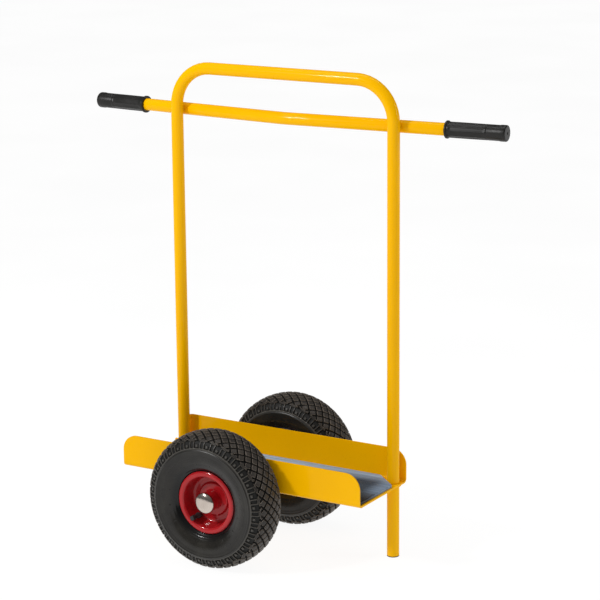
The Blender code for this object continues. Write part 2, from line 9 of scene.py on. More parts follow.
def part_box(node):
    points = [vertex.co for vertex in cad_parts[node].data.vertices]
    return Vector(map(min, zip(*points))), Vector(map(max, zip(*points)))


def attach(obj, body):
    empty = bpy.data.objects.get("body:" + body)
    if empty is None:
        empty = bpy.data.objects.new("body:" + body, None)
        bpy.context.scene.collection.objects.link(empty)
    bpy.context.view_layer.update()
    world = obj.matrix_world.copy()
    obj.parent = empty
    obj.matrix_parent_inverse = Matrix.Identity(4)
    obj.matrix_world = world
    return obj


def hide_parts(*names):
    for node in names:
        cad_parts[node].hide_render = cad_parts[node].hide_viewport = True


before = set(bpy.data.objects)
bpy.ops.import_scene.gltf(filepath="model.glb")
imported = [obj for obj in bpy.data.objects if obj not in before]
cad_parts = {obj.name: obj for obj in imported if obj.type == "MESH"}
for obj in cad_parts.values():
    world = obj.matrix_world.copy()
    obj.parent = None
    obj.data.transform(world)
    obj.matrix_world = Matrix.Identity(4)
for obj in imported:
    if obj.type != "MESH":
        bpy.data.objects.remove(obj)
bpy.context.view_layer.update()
print("frame loaded:", len(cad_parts), "nodes")

gap = 0.0003  # stands between two pieces that touch


# camera, light and floor

view = {
    "azimuth": 31.118,
    "elevation": 13.62,
    "roll": -0.517,
    "lens": 131.066,
    "distance": 4.1,
    "aim": (0.0187, 0.0917, 0.4603),
}


def viewAxes():
    turn, lift = radians(view["azimuth"]), radians(view["elevation"])
    ahead = Vector((-sin(turn) * cos(lift), cos(turn) * cos(lift), -sin(lift)))
    right = Vector((cos(turn), sin(turn), 0))
    return ahead, right, right.cross(ahead)


def setCamera():
    ahead, right, up = viewAxes()
    roll = radians(view["roll"])
    across = right * cos(roll) + up * sin(roll)
    above = up * cos(roll) - right * sin(roll)
    camera = bpy.data.objects.new("camera", bpy.data.cameras.new("camera"))
    camera.data.lens = view["lens"]
    camera.data.sensor_width = 36
    placed = Matrix((across, above, -ahead)).transposed().to_4x4()
    placed.translation = Vector(view["aim"]) - ahead * view["distance"]
    camera.matrix_world = placed
    bpy.context.collection.objects.link(camera)
    bpy.context.scene.camera = camera
    bpy.context.scene.view_settings.view_transform = "Standard"


class Wire:  # a socket that sums and products can be written with
    def __init__(self, tree, socket=None):
        self.tree = tree
        self.socket = socket

    def node(self, kind, settings=None, sockets=None, out=0):
        made = self.tree.nodes.new("ShaderNode" + kind)
        for key, value in (settings or {}).items():
            setattr(made, key, value)
        for key, value in (sockets or {}).items():
            if isinstance(value, Wire):
                self.tree.links.new(value.socket, made.inputs[key])
            else:
                made.inputs[key].default_value = value
        return Wire(self.tree, made.outputs[out])

    def maths(self, operation, *values):
        return self.node("Math", {"operation": operation}, dict(enumerate(values)))

    def __add__(self, other):
        return self.maths("ADD", self, other)

    def __radd__(self, other):
        return self.maths("ADD", other, self)

    def __sub__(self, other):
        return self.maths("SUBTRACT", self, other)

    def __rsub__(self, other):
        return self.maths("SUBTRACT", other, self)

    def __mul__(self, other):
        return self.maths("MULTIPLY", self, other)

    def __rmul__(self, other):
        return self.maths("MULTIPLY", other, self)

    def rise(self, low, high):  # 0 below low, 1 above high, smooth between
        settings = {"interpolation_type": "SMOOTHSTEP"}
        return self.node("MapRange", settings, {"Value": self, "From Min": low, "From Max": high})

    def mix(self, low, high):  # colour low where this value is 0, high where it is 1
        return self.node("Mix", {"data_type": "RGBA"}, {0: self, 6: low, 7: high}, out=2)

    def vector(self, operation, *values, out=0):
        return self.node("VectorMath", {"operation": operation}, dict(enumerate(values)), out=out)

    def noise(self, scale, detail=2.0, rough=0.5):  # this socket gives the place
        sockets = {"Vector": self, "Scale": scale, "Detail": detail, "Roughness": rough}
        return self.node("TexNoise", None, sockets)

    def split(self, axis):
        return self.node("SeparateXYZ", None, {0: self}, out=axis)

    def bump(self, strength, distance):
        return self.node("Bump", None, {"Strength": strength, "Distance": distance, "Height": self})


studio = {
    "low": 0.13,  # the room's light near the horizon, away from the key
    "glow": 0.30,  # added on the key's side
    "sky": 0.25,  # added towards the top
    "dull": 0.35,  # share of the room that a glossy surface sees
    "backdrop": 1.0,
    "keyPower": 50,
    "keySize": 0.32,
    "topPower": 12,
    "sidePower": 15,
    "floorColour": (0.10, 0.10, 0.10, 1),
    "floorGlow": 0.93,
}


def keyDirection():
    ahead, right, _ = viewAxes()
    return (-right * 1.25 - ahead * 0.75 + Vector((0, 0, 0.80))).normalized()


def setWorld():  # brighter on the key's side and above, plain white behind
    world = bpy.data.worlds.new("studio")
    bpy.context.scene.world = world
    world.use_nodes = True
    tree = world.node_tree
    tree.nodes.clear()
    wire = Wire(tree)
    way = wire.node("TexCoord", out="Generated")
    facing = way.vector("DOT_PRODUCT", way, tuple(keyDirection()), out="Value")
    height = way.vector("DOT_PRODUCT", way, (0, 0, 1), out="Value")
    light = facing.rise(-0.3, 0.9) * studio["glow"] + height.rise(0.1, 0.9) * studio["sky"] + studio["low"]
    glossy = wire.node("LightPath", out="Is Glossy Ray")
    light = light * (1 - glossy * (1 - studio["dull"]))
    room = wire.node("Background", None, {"Color": (1, 1, 1, 1), "Strength": light})
    plain = wire.node("Background", None, {"Color": (1, 1, 1, 1), "Strength": studio["backdrop"]})
    seen = wire.node("LightPath", out="Is Camera Ray")
    both = wire.node("MixShader", None, {0: seen, 1: room, 2: plain})
    output = tree.nodes.new("ShaderNodeOutputWorld")
    tree.links.new(both.socket, output.inputs["Surface"])


def softBox(name, place, aim, size, power):
    light = bpy.data.lights.new(name, "AREA")
    light.shape = "RECTANGLE"
    light.size, light.size_y = size
    light.energy = power
    lamp = bpy.data.objects.new(name, light)
    lamp.location = place
    lamp.rotation_euler = (Vector(aim) - Vector(place)).to_track_quat("-Z", "Y").to_euler()
    bpy.context.collection.objects.link(lamp)


def setLights():
    ahead, right, _ = viewAxes()
    middle = Vector((0, 0, 0.4))
    size = studio["keySize"]
    softBox("key", middle + keyDirection() * 3.2, middle, (size, size), studio["keyPower"])
    above = middle + Vector((0, 0, 2.4)) + ahead * 0.4
    softBox("top", above, middle, (2.2, 0.4), studio["topPower"])
    aside = middle + right * 2.6 - ahead * 0.2 + Vector((0, 0, 0.6))
    softBox("side", aside, middle, (0.5, 1.8), studio["sidePower"])


def setFloor():  # a lit white sheet, on which shadows hardly show
    fixed = {"Roughness": 0.8, "Specular IOR Level": 0.0, "Emission Strength": studio["floorGlow"]}
    material, _, place = newFinish("paleFloor", fixed)
    mottle = place.noise(1.5).rise(0.3, 0.7)
    feed(material, {
        "Base Color": mottle.mix(studio["floorColour"], (0.11, 0.11, 0.11, 1)),
        "Emission Color": mottle.mix((0.99, 0.99, 0.99, 1), (1, 1, 1, 1)),
    })
    reach = 60
    mesh = bpy.data.meshes.new("floor")
    corners = [(-reach, -reach, 0), (reach, -reach, 0), (reach, reach, 0), (-reach, reach, 0)]
    mesh.from_pydata(corners, [], [(0, 1, 2, 3)])
    mesh.materials.append(material)
    floor = bpy.data.objects.new("floor", mesh)
    bpy.context.collection.objects.link(floor)


# finishes


def newFinish(name, fixed):
    material = bpy.data.materials.new(name)
    material.use_nodes = True
    shader = material.node_tree.nodes["Principled BSDF"]
    for key, value in fixed.items():
        shader.inputs[key].default_value = value
    wire = Wire(material.node_tree)
    return material, wire, wire.node("TexCoord", out="Object")


def feed(material, links):
    shader = material.node_tree.nodes["Principled BSDF"]
    for key, wire in links.items():
        material.node_tree.links.new(wire.socket, shader.inputs[key])


def frameYellow():  # glossy powder coat, almost without orange peel
    fixed = {"Specular IOR Level": 0.02, "Coat Weight": 0.14, "Coat Roughness": 0.06}
    material, _, place = newFinish("frameYellow", fixed)
    cloud = place.noise(7, 3).rise(0.3, 0.7)
    colour = cloud.mix((0.89, 0.450, 0.0, 1), (0.92, 0.472, 0.0, 1))
    speck = place.noise(520, 2).rise(0.28, 0.32)
    colour = speck.mix((0.78, 0.35, 0.0, 1), colour)
    peel = place.noise(240, 2, 0.4)
    feed(material, {
        "Base Color": colour,
        "Roughness": 0.24 + cloud * 0.05,
        "Normal": peel.bump(0.02, 0.0003),
    })
    return material


def rimRed():  # glossy stoving enamel on pressed sheet
    fixed = {"Specular IOR Level": 0.20, "Coat Weight": 0.30, "Coat Roughness": 0.05}
    material, _, place = newFinish("rimRed", fixed)
    cloud = place.noise(18, 3).rise(0.3, 0.7)
    colour = cloud.mix((0.33, 0.007, 0.010, 1), (0.40, 0.010, 0.014, 1))
    peel = place.noise(260, 2, 0.4)
    feed(material, {
        "Base Color": colour,
        "Roughness": 0.16 + cloud * 0.05,
        "Normal": peel.bump(0.05, 0.0003),
    })
    return material


def distanceFromAxis(place):  # wheel pieces turn about their own Y
    flat = place.vector("MULTIPLY", place, (1, 0, 1))
    return flat.vector("LENGTH", flat, out="Value")


def tyreRubber():  # warm dark grey: painted shade black in the grooves and in the recess by the rim, dust with a painted sheen on the crown, wear with a painted highlight on the block edges, shinier down the walls
    material, wire, place = newFinish("tyreRubber", {"Specular IOR Level": 0.30})
    away = distanceFromAxis(place)
    relief = wire.node("Attribute", {"attribute_name": "relief"}, out="Fac")
    crown = away.rise(0.1130, 0.1270)
    cloud = place.noise(40, 4, 0.6).rise(0.3, 0.7)
    broad = place.noise(16, 3, 0.6).rise(0.3, 0.7)
    wall = (cloud * 0.5 + broad * 0.5).mix((0.010, 0.009, 0.008, 1), (0.024, 0.022, 0.018, 1))
    # painted shade: near black in the recess next to the rim, as ambient shade there
    wall = away.rise(0.062, 0.078).mix((0.004, 0.004, 0.004, 1), wall)
    # dust with a painted sheen: the crown is lighter and warmer, partly standing for light it catches at a
    # grazing angle
    crownDustAndSheen = cloud.mix((0.022, 0.019, 0.017, 1), (0.048, 0.041, 0.034, 1))
    colour = crown.mix(wall, crownDustAndSheen)
    # wear with a painted highlight: a tan band on the block edges, partly standing for light catching them
    edgeWearAndHighlight = relief.rise(0.02, 0.10) * (1 - relief.rise(0.22, 0.42)) * (0.45 + crown * 0.55)
    colour = edgeWearAndHighlight.mix(colour, (0.170, 0.140, 0.112, 1))
    lugs = away.rise(0.1030, 0.1050) * (1 - away.rise(0.1165, 0.1185)) * (1 - relief.rise(0.05, 0.50))
    colour = (lugs * 0.6).mix(colour, (0.080, 0.075, 0.067, 1))
    # painted shade: the rubber goes black down in the grooves, where shade falls
    colour = relief.rise(0.35, 0.80).mix(colour, (0.004, 0.004, 0.003, 1))
    grain = place.noise(900, 3, 0.6)
    feed(material, {
        "Base Color": colour,
        "Roughness": 0.17 + away.rise(0.074, 0.100) * 0.14 + crown * 0.12 + cloud * 0.06 + relief * 0.3,
        "Normal": grain.bump(0.10, 0.0003),
    })
    return material


def plainRubber(name, dark, light, rough, grainScale=700):
    material, _, place = newFinish(name, {"Specular IOR Level": 0.30})
    cloud = place.noise(35, 3).rise(0.3, 0.7)
    grain = place.noise(grainScale, 3, 0.6)
    feed(material, {
        "Base Color": cloud.mix((*dark, 1), (*light, 1)),
        "Roughness": rough + cloud * 0.08,
        "Normal": grain.bump(0.03, 0.0003),
    })
    return material


def matRubber():  # blue grey and glossy, with a painted reflection making it pale blue to the back and at its ends, a painted shadow dark along the front wall, and lengthwise streaks
    material, _, place = newFinish("matRubber", {"Specular IOR Level": 0.35})
    stretched = place.vector("MULTIPLY", place, (4, 260, 60))
    streak = stretched.noise(1, 3, 0.6).rise(0.25, 0.75)
    cloud = place.noise(14, 3).rise(0.3, 0.7)
    end = place.vector("ABSOLUTE", place).split(0)
    # painted reflection: back and ends mark the strip by the rear wall and the cut ends, painted pale blue as
    # light reflected there
    back = place.split(1).rise(0.030, 0.075)
    ends = end.rise(0.205, 0.240) * place.split(1).rise(-0.060, 0.010)
    paintedReflection = (back + ends * 0.50) * (0.45 + streak * 0.55)
    colour = streak.mix((0.006, 0.013, 0.023, 1), (0.034, 0.058, 0.092, 1))
    colour = (cloud * 0.4).mix(colour, (0.015, 0.025, 0.036, 1))
    # painted shadow: near black along the front wall, where that wall's shadow falls on the mat
    colour = place.split(1).rise(-0.080, 0.005).mix((0.003, 0.002, 0.002, 1), colour)
    colour = paintedReflection.mix(colour, (0.42, 0.57, 0.78, 1))
    grain = place.noise(800, 3, 0.6)
    feed(material, {
        "Base Color": colour,
        "Roughness": 0.30 + streak * 0.12 + cloud * 0.05,
        "Normal": (grain + streak * 0.6).bump(0.08, 0.0003),
    })
    return material


def platedMetal(name, dark, light, rough, spread, grainScale):
    material, _, place = newFinish(name, {"Metallic": 1.0})
    cloud = place.noise(grainScale, 4, 0.6).rise(0.3, 0.7)
    fine = place.noise(grainScale * 12, 2)
    feed(material, {
        "Base Color": cloud.mix((*dark, 1), (*light, 1)),
        "Roughness": rough + cloud * spread,
        "Normal": fine.bump(0.05, 0.0002),
    })
    return material


def makeFinishes():
    return {
        "frame_yellow": frameYellow(),
        "rim_red": rimRed(),
        "tyre": tyreRubber(),
        "tube_rubber": plainRubber("tubeRubber", (0.015, 0.015, 0.016), (0.025, 0.025, 0.026), 0.40),
        "valve_rubber": plainRubber("valveRubber", (0.016, 0.016, 0.017), (0.030, 0.030, 0.031), 0.36),
        "mat_rubber": matRubber(),
        "grip_rubber": plainRubber("gripRubber", (0.008, 0.008, 0.007), (0.014, 0.013, 0.012), 0.36, 900),
        "foot_plastic": plainRubber("footPlastic", (0.012, 0.012, 0.013), (0.020, 0.020, 0.021), 0.42),
        "zinc": platedMetal("zincPlate", (0.52, 0.53, 0.54), (0.68, 0.68, 0.66), 0.24, 0.14, 60),
        "cap_nickel": platedMetal("capNickel", (0.50, 0.43, 0.38), (0.60, 0.53, 0.47), 0.16, 0.05, 30),
    }


# mesh tools


def gridMesh(name, points, closeRows=True, closeColumns=True, capEnds=False):
    rows, columns = points.shape[:2]
    index = np.arange(rows * columns).reshape(rows, columns)
    caps = [index[0].tolist(), index[-1].tolist()]
    if closeRows:
        index = np.vstack([index, index[:1]])
    if closeColumns:
        index = np.hstack([index, index[:, :1]])
    quads = np.stack([index[:-1, :-1], index[1:, :-1], index[1:, 1:], index[:-1, 1:]], axis=-1)
    faces = quads.reshape(-1, 4).tolist()
    if capEnds:
        faces += caps
    mesh = bpy.data.meshes.new(name)
    mesh.from_pydata(points.reshape(-1, 3).tolist(), [], faces)
    shape = bmesh.new()
    shape.from_mesh(mesh)
    bmesh.ops.remove_doubles(shape, verts=shape.verts, dist=1e-7)
    bmesh.ops.recalc_face_normals(shape, faces=shape.faces)
    shape.to_mesh(mesh)
    shape.free()
    return mesh


def rounded(corners, closed=False):  # (a, b, radius) corners turned into arcs
    points = []
    count = len(corners)
    for i, (a, b, radius) in enumerate(corners):
        here = Vector((a, b))
        if not radius or (not closed and i in (0, count - 1)):
            points.append((a, b))
            continue
        before = Vector(corners[i - 1][:2]) - here
        after = Vector(corners[(i + 1) % count][:2]) - here
        first, second = before.normalized(), after.normalized()
        half = first.angle(second) / 2
        reach = min(radius / tan(half), 0.49 * before.length, 0.49 * after.length)
        radius = reach * tan(half)
        centre = here + (first + second).normalized() * (radius / sin(half))
        start = here + first * reach - centre
        turn = pi - 2 * half
        if first.x * second.y - first.y * second.x > 0:
            turn = -turn
        steps = max(2, int(abs(turn) / radians(7.5)))
        for k in range(steps + 1):
            angle = atan2(start.y, start.x) + turn * k / steps
            points.append((centre.x + radius * cos(angle), centre.y + radius * sin(angle)))
    return points


def sheetOutline(line, thickness):  # closed outline half the thickness either side of a line
    left, right = [], []
    for i, (a, b) in enumerate(line):
        before, after = line[max(i - 1, 0)], line[min(i + 1, len(line) - 1)]
        along = Vector((after[0] - before[0], after[1] - before[1])).normalized()
        left.append((a - along.y * thickness / 2, b + along.x * thickness / 2))
        right.append((a + along.y * thickness / 2, b - along.x * thickness / 2))
    return left + right[::-1]


def latheMesh(name, profile, steps=96):  # (radius, y) turned about Y
    profile = np.array(profile)
    turns = 2 * pi * np.arange(steps) / steps
    points = np.empty((steps, len(profile), 3))
    points[..., 0] = np.outer(np.cos(turns), profile[:, 0])
    points[..., 1] = profile[:, 1]
    points[..., 2] = np.outer(np.sin(turns), profile[:, 0])
    return gridMesh(name, points)


def tubeRings(path, side, radii, sides):
    path = np.array(path, float)
    steps = np.diff(path, axis=0)
    steps /= np.linalg.norm(steps, axis=1)[:, None]
    ways = np.vstack([steps[:1], steps[:-1] + steps[1:], steps[-1:]])
    ways /= np.linalg.norm(ways, axis=1)[:, None]
    side = np.array(side, float)
    other = np.cross(ways, side)
    turns = 2 * pi * np.arange(sides) / sides
    radii = np.broadcast_to(radii, len(path))[:, None, None]
    ring = np.cos(turns)[None, :, None] * side + np.sin(turns)[None, :, None] * other[:, None, :]
    return path[:, None, :] + ring * radii, ways


def pipeMesh(name, path, side, outer, inner, sides=64):  # hollow, with rounded rims
    path = [Vector(point) for point in path]
    soft = (outer - inner) / 2
    path[0] += (path[1] - path[0]).normalized() * soft
    path[-1] += (path[-2] - path[-1]).normalized() * soft
    outerRows, ways = tubeRings(path, side, outer, sides)
    innerRows, _ = tubeRings(path, side, inner, sides)
    rows = [outerRows]
    for end, push, first in ((-1, ways[-1], 1), (0, -ways[0], -1)):
        middle = np.array(path[end])
        around = (outerRows[end] - middle) / outer
        rim = []
        for k in range(1, 6):
            turn = pi * k / 6
            rim.append(middle + around * (inner + soft + soft * cos(turn) * first) + push * soft * sin(turn))
        rows.append(np.array(rim))
        if first > 0:
            rows.append(innerRows[::-1])
    return gridMesh(name, np.concatenate(rows))


def addPiece(name, mesh, slot, body, nodes, place=(0, 0, 0), turn=(0, 0, 0), sharp=38):
    if not mesh.materials:
        mesh.materials.append(finishes[slot])
        mesh.shade_smooth()
        mesh.set_sharp_from_angle(angle=radians(sharp))
    piece = bpy.data.objects.new(name, mesh)
    piece.location = place
    piece.rotation_euler = turn
    bpy.context.collection.objects.link(piece)
    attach(piece, body)
    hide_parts(*nodes)
    return piece


def applyCut(mesh, cutter):  # takes the cutter's shape out of the mesh for good
    held = bpy.data.objects.new("held", mesh)
    tool = bpy.data.objects.new("tool", cutter)
    for thing in (held, tool):
        bpy.context.collection.objects.link(thing)
    modifier = held.modifiers.new("cut", "BOOLEAN")
    modifier.operation = "DIFFERENCE"
    modifier.object = tool
    graph = bpy.context.evaluated_depsgraph_get()
    result = bpy.data.meshes.new_from_object(held.evaluated_get(graph))
    for thing in (held, tool):
        bpy.data.objects.remove(thing)
    return result


def middleOf(node):
    low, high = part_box(node)
    return (low + high) / 2


def smooth(value):  # 0 to 1 with soft ends, on arrays
    value = np.clip(value, 0, 1)
    return value * value * (3 - 2 * value)


# push frame, handle bar and grips

pushFrame = {"wall": 0.002, "bend": 0.074, "stub": 0.006}  # the left leg ends a stub below the floor
handleBar = {"wall": 0.002, "sweep": radians(4.5), "bend": 0.150}
grip = {
    "length": 0.1155,
    "body": 0.01425,
    "collar": 0.01625,
    "collarWidth": 0.004,
    "endWall": 0.004,
    "flutes": 10,
    "fluteDepth": 0.00075,
    "fluteStart": 0.008,
    "bandAt": 0.037,  # a thin groove runs round the grip this far from its end
    "bandDepth": 0.0004,
    "swell": 0.0006,  # of the head past the flutes
    "belly": 0.0002,
}
frameLow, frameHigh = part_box("push_frame")
tubeRadius = (frameHigh.y - frameLow.y) / 2
legX = frameHigh.x - tubeRadius
legY = (frameHigh.y + frameLow.y) / 2
channelLow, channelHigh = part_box("load_channel")
barLow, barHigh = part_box("handle_bar")
barRadius = (barHigh.z - barLow.z) / 2
barHeight = (barHigh.z + barLow.z) / 2
barHalf = barHigh.x - barRadius * sin(handleBar["sweep"])
barMiddleY = barHigh.y - barRadius * cos(handleBar["sweep"]) - barHalf * tan(handleBar["sweep"])


def makePushFrame():
    top = frameHigh.z - tubeRadius
    bend = pushFrame["bend"]
    corners = [(-legX, channelLow.z - pushFrame["stub"], 0), (-legX, top, bend)]
    corners += [(legX, top, bend), (legX, frameLow.z, 0)]
    path = [(x, legY, z) for x, z in rounded(corners)]
    mesh = pipeMesh("pushFrame", path, (0, 1, 0), tubeRadius, tubeRadius - pushFrame["wall"])
    addPiece("pushFrame", mesh, "frame_yellow", "root", ["push_frame"])


def makeHandleBar():
    endY = barMiddleY + barHalf * tan(handleBar["sweep"])
    corners = [(-barHalf, endY, 0), (0, barMiddleY, handleBar["bend"]), (barHalf, endY, 0)]
    path = [(x, y, barHeight) for x, y in rounded(corners)]
    mesh = pipeMesh("handleBar", path, (0, 0, 1), barRadius, barRadius - handleBar["wall"])
    addPiece("handleBar", mesh, "frame_yellow", "root", ["handle_bar"])


def gripProfile():  # (radius, y) from the collar out to the head and back through the bore
    body, collar, wide = grip["body"], grip["collar"], grip["collarWidth"]
    head, sunk = body + grip["swell"], body - grip["bandDepth"]
    end, bore = grip["length"], barRadius + gap
    band, inner = end - grip["bandAt"], end - grip["endWall"] + gap
    flange = [(bore, 0, 0), (collar, 0, 0.0012), (collar, wide, 0.0012)]
    line = rounded(flange + [(body, wide, 0.0008), (body, wide + 0.001, 0)])
    for y in np.linspace(wide + 0.0012, band - 0.0015, 58):
        line.append((body + grip["belly"] * sin(pi * y / band), y))
    line += [(body, band), (sunk, band + 0.0008), (sunk, band + 0.0014), (body, band + 0.0023)]
    line += [(body, end - 0.0140), (head, end - 0.0112), (head, end - 0.0050)]
    line += rounded([(head, end - 0.0045, 0), (body + grip["swell"] * 0.6, end, 0.0032), (0.0042, end, 0)])
    line += [(0.0026, end), (0.0023, end - 0.0003), (0.0022, end - 0.0018), (0, end - 0.0018)]
    return line + [(0, inner), (bore, inner)]


def makeGrip(word, side):
    profile = np.array(gripProfile())
    around = grip["flutes"] * 14
    turns = 2 * pi * np.arange(around) / around
    pitch = 2 * pi * grip["body"] / grip["flutes"]
    aside = ((turns * grip["flutes"] / (2 * pi)) % 1 - 0.5) * pitch
    half = pitch * 0.44
    low, high = grip["fluteStart"] + half, grip["length"] - grip["bandAt"] - 0.001 - half
    past = np.maximum(np.maximum(low - profile[:, 1], profile[:, 1] - high), 0)
    away = np.hypot(aside[:, None], past[None, :]) / half
    depth = grip["fluteDepth"] * smooth((1 - away) * 1.5)
    depth *= (profile[:, 0] > barRadius + 0.001)[None, :]
    radius = profile[None, :, 0] - depth
    points = np.stack([radius * np.cos(turns)[:, None], np.broadcast_to(profile[:, 1], radius.shape),
                       radius * np.sin(turns)[:, None]], axis=-1)
    sweep = handleBar["sweep"]
    start = barHalf + grip["endWall"] - grip["length"] * cos(sweep)
    place = (side * start, barMiddleY + start * tan(sweep), barHeight)
    turn = (0, 0, -side * (pi / 2 - sweep))
    mesh = gridMesh(word + "Grip", points)
    addPiece(word + "Grip", mesh, "grip_rubber", "root", [word + "_grip"], place, turn)


footPlug = {"wall": 0.002, "soft": 0.0009, "dip": 0.0006, "dipSoft": 0.0004}


def makeFootPlug():
    low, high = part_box("foot_plug")
    rim, top = (high.x - low.x) / 2, high.z - low.z
    lip = frameLow.z - gap - low.z
    plug = tubeRadius - pushFrame["wall"] - gap
    hollow, soft = plug - footPlug["wall"], footPlug["soft"]
    dip, dipSoft = footPlug["dip"], footPlug["dipSoft"]
    corners = [(0, dip, 0), (rim * 0.5, dip, dipSoft), (rim * 0.56, 0, dipSoft), (rim, 0, soft)]
    corners += [(rim, lip, soft * 0.4), (plug, lip, 0), (plug, top, soft)]
    corners += [(hollow, top, soft * 0.5), (hollow, lip, 0), (0, lip, 0)]
    middle = (low + high) / 2
    place = (middle.x, middle.y, low.z)
    mesh = latheMesh("footPlug", rounded(corners))
    addPiece("footPlug", mesh, "foot_plastic", "root", ["foot_plug"], place, (pi / 2, 0, 0))


# channel and mat

channel = {"plate": 0.003, "bend": 0.008, "corner": 0.030, "rearCut": 0.014, "edge": 0.0007}
mat = {"cutAngle": radians(42), "cutClearance": 0.0008, "ribPitch": 0.0031, "ribDepth": 0.00055, "soft": 0.0006}


def channelSection(top):
    outer, plate, bend = channelHigh.y, channel["plate"], channel["bend"]
    floor = channelLow.z
    corners = [(-outer, top, 0), (-outer, floor, bend), (outer, floor, bend), (outer, top, 0)]
    inside = outer - plate
    corners += [(inside, top, 0), (inside, floor + plate, bend - plate), (-inside, floor + plate, bend - plate)]
    corners += [(-inside, top, 0)]
    return rounded(corners)


def makeChannel():
    corner, steps = channel["corner"], 20
    rows = []
    for end, way in ((channelLow.x, 1), (channelHigh.x, -1)):
        stops = []
        for k in range(steps + 1):
            angle = pi / 2 * k / steps
            x = end + way * corner * (1 - cos(angle))
            section = channelSection(channelHigh.z - corner * (1 - sin(angle)))
            stops.append([(x, y, z) for y, z in section])
        rows += stops if way > 0 else stops[::-1]
    mesh = gridMesh("loadChannel", np.array(rows), closeRows=False, capEnds=True)
    for side in (-1, 1):
        reach = channel["plate"]
        radius = tubeRadius + gap
        cutter = latheMesh("hole", [(0, -reach), (radius, -reach), (radius, 2 * reach), (0, 2 * reach)], 64)
        turn = Matrix.Translation((side * legX, legY, channelLow.z)) @ Matrix.Rotation(pi / 2, 4, "X")
        cutter.transform(turn)
        mesh = applyCut(mesh, cutter)
    mesh = applyCut(mesh, rearWallEnd())
    piece = addPiece("loadChannel", mesh, "frame_yellow", "root", ["load_channel"], sharp=30)
    softenEdges(piece, channel["edge"])


def rearWallEnd():  # cut off the rear wall, which stops behind the left leg
    corner, top, past = channel["corner"], channelHigh.z, 3 * channel["plate"]
    end, away = channelLow.x + channel["rearCut"], channelLow.x - past
    low = channelLow.z + channel["bend"]
    outline = [(away, low), (end, low)]
    for k in range(21):
        angle = pi / 2 * k / 20
        outline.append((end + corner * (1 - cos(angle)), top - corner * (1 - sin(angle))))
    outline += [(end + corner, top + past), (away, top + past)]
    inner, outer = channelHigh.y - channel["plate"] - past, channelHigh.y + past
    rows = [[(x, y, z) for x, z in outline] for y in (inner, outer)]
    return gridMesh("wallEnd", np.array(rows), closeRows=False, capEnds=True)


def softenEdges(piece, width):
    modifier = piece.modifiers.new("edges", "BEVEL")
    modifier.width = width
    modifier.segments = 3
    modifier.limit_method = "ANGLE"
    modifier.angle_limit = radians(40)
    modifier.harden_normals = True


def makeMat():
    low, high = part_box("rubber_mat")
    away = tubeRadius + mat["cutClearance"]
    touchX, touchY = legX - away * sin(mat["cutAngle"]), legY - away * cos(mat["cutAngle"])
    slope = tan(mat["cutAngle"])
    count = int((high.y - low.y) / mat["ribPitch"])
    samples = np.linspace(low.y, high.y, count * 8 + 1)
    soft = mat["soft"]
    rows = []
    for y in samples:
        phase = (y - low.y) / (high.y - low.y) * count
        rib = mat["ribDepth"] * smooth(abs(2 * (phase % 1) - 1) * 2.2 - 0.4)
        edge = min(y - low.y, high.y - y)
        rib += max(0, soft - edge)
        limit = touchX - (y - touchY) / slope
        right, left = min(high.x, limit), max(low.x, -limit)
        top = high.z - rib
        rows.append([(left, y, low.z), (left, y, top - soft), (left + soft * 0.4, y, top - soft * 0.3),
                     (left + soft, y, top), (right - soft, y, top), (right - soft * 0.4, y, top - soft * 0.3),
                     (right, y, top - soft), (right, y, low.z)])
    mesh = gridMesh("rubberMat", np.array(rows), closeRows=False, capEnds=True)
    addPiece("rubberMat", mesh, "mat_rubber", "root", ["rubber_mat"], sharp=60)


# welds

weld = {"leg": 0.004, "core": 0.0048, "edge": 0.0090, "ripple": 0.09}


def ripples(count, turns):  # the scales that a weld bead is laid down in
    return 1 - weld["ripple"] * (1 - np.abs(np.sin(turns * count / 2)))


def makeLegWeld(word, side):
    steps = 128
    turns = 2 * pi * np.arange(steps) / steps
    size = weld["leg"] * ripples(26, turns)
    radius = tubeRadius + gap
    columns = [(radius + 0 * size, -gap + 0 * size), (radius + size, -gap + 0 * size)]
    for k in range(1, 6):
        angle = pi / 2 * k / 6
        columns.append((radius + size * cos(angle) * 0.86, -gap - size * sin(angle) * 0.86))
    columns.append((radius + 0 * size, -gap - size))
    rings = [np.stack([r * np.cos(turns), y, r * np.sin(turns)], axis=-1) for r, y in columns]
    points = np.stack(rings, axis=1)
    place = (side * legX, legY, channelLow.z)
    mesh = gridMesh(word + "LegWeld", points)
    addPiece(word + "LegWeld", mesh, "frame_yellow", "root", [word + "_leg_weld"], place, (pi / 2, 0, 0))


def makeHandleWeld(word, side):
    steps = 96
    slope = tan(handleBar["sweep"])
    rows = []
    for k in range(steps):
        angle = 2 * pi * k / steps
        edge = weld["edge"] * float(ripples(20, angle))
        reaches = (weld["core"], (weld["core"] + edge) / 2, edge)
        front = [weldPoint(side, angle, reach, slope, 0) for reach in reaches]
        belly = [weldPoint(side, angle, edge + 0.0007 * sin(pi * s), slope, s) for s in (0.25, 0.5, 0.75)]
        back = [weldPoint(side, angle, reach, slope, 1) for reach in reaches[::-1]]
        rows.append(front + belly + back)
    mesh = gridMesh(word + "HandleWeld", np.array(rows))
    addPiece(word + "HandleWeld", mesh, "frame_yellow", "root", [word + "_handle_weld"])


def weldPoint(side, angle, reach, slope, share):  # share 0 lies on the leg, 1 on the bar
    dx, dz = reach * cos(angle), reach * sin(angle)
    leg = legY + sqrt(tubeRadius**2 - dx**2) + gap
    x = side * legX + dx
    bar = barMiddleY + abs(x) * slope - sqrt(barRadius**2 - dz**2) / cos(handleBar["sweep"]) - gap
    return (x, leg + (bar - leg) * share, barHeight + dz)


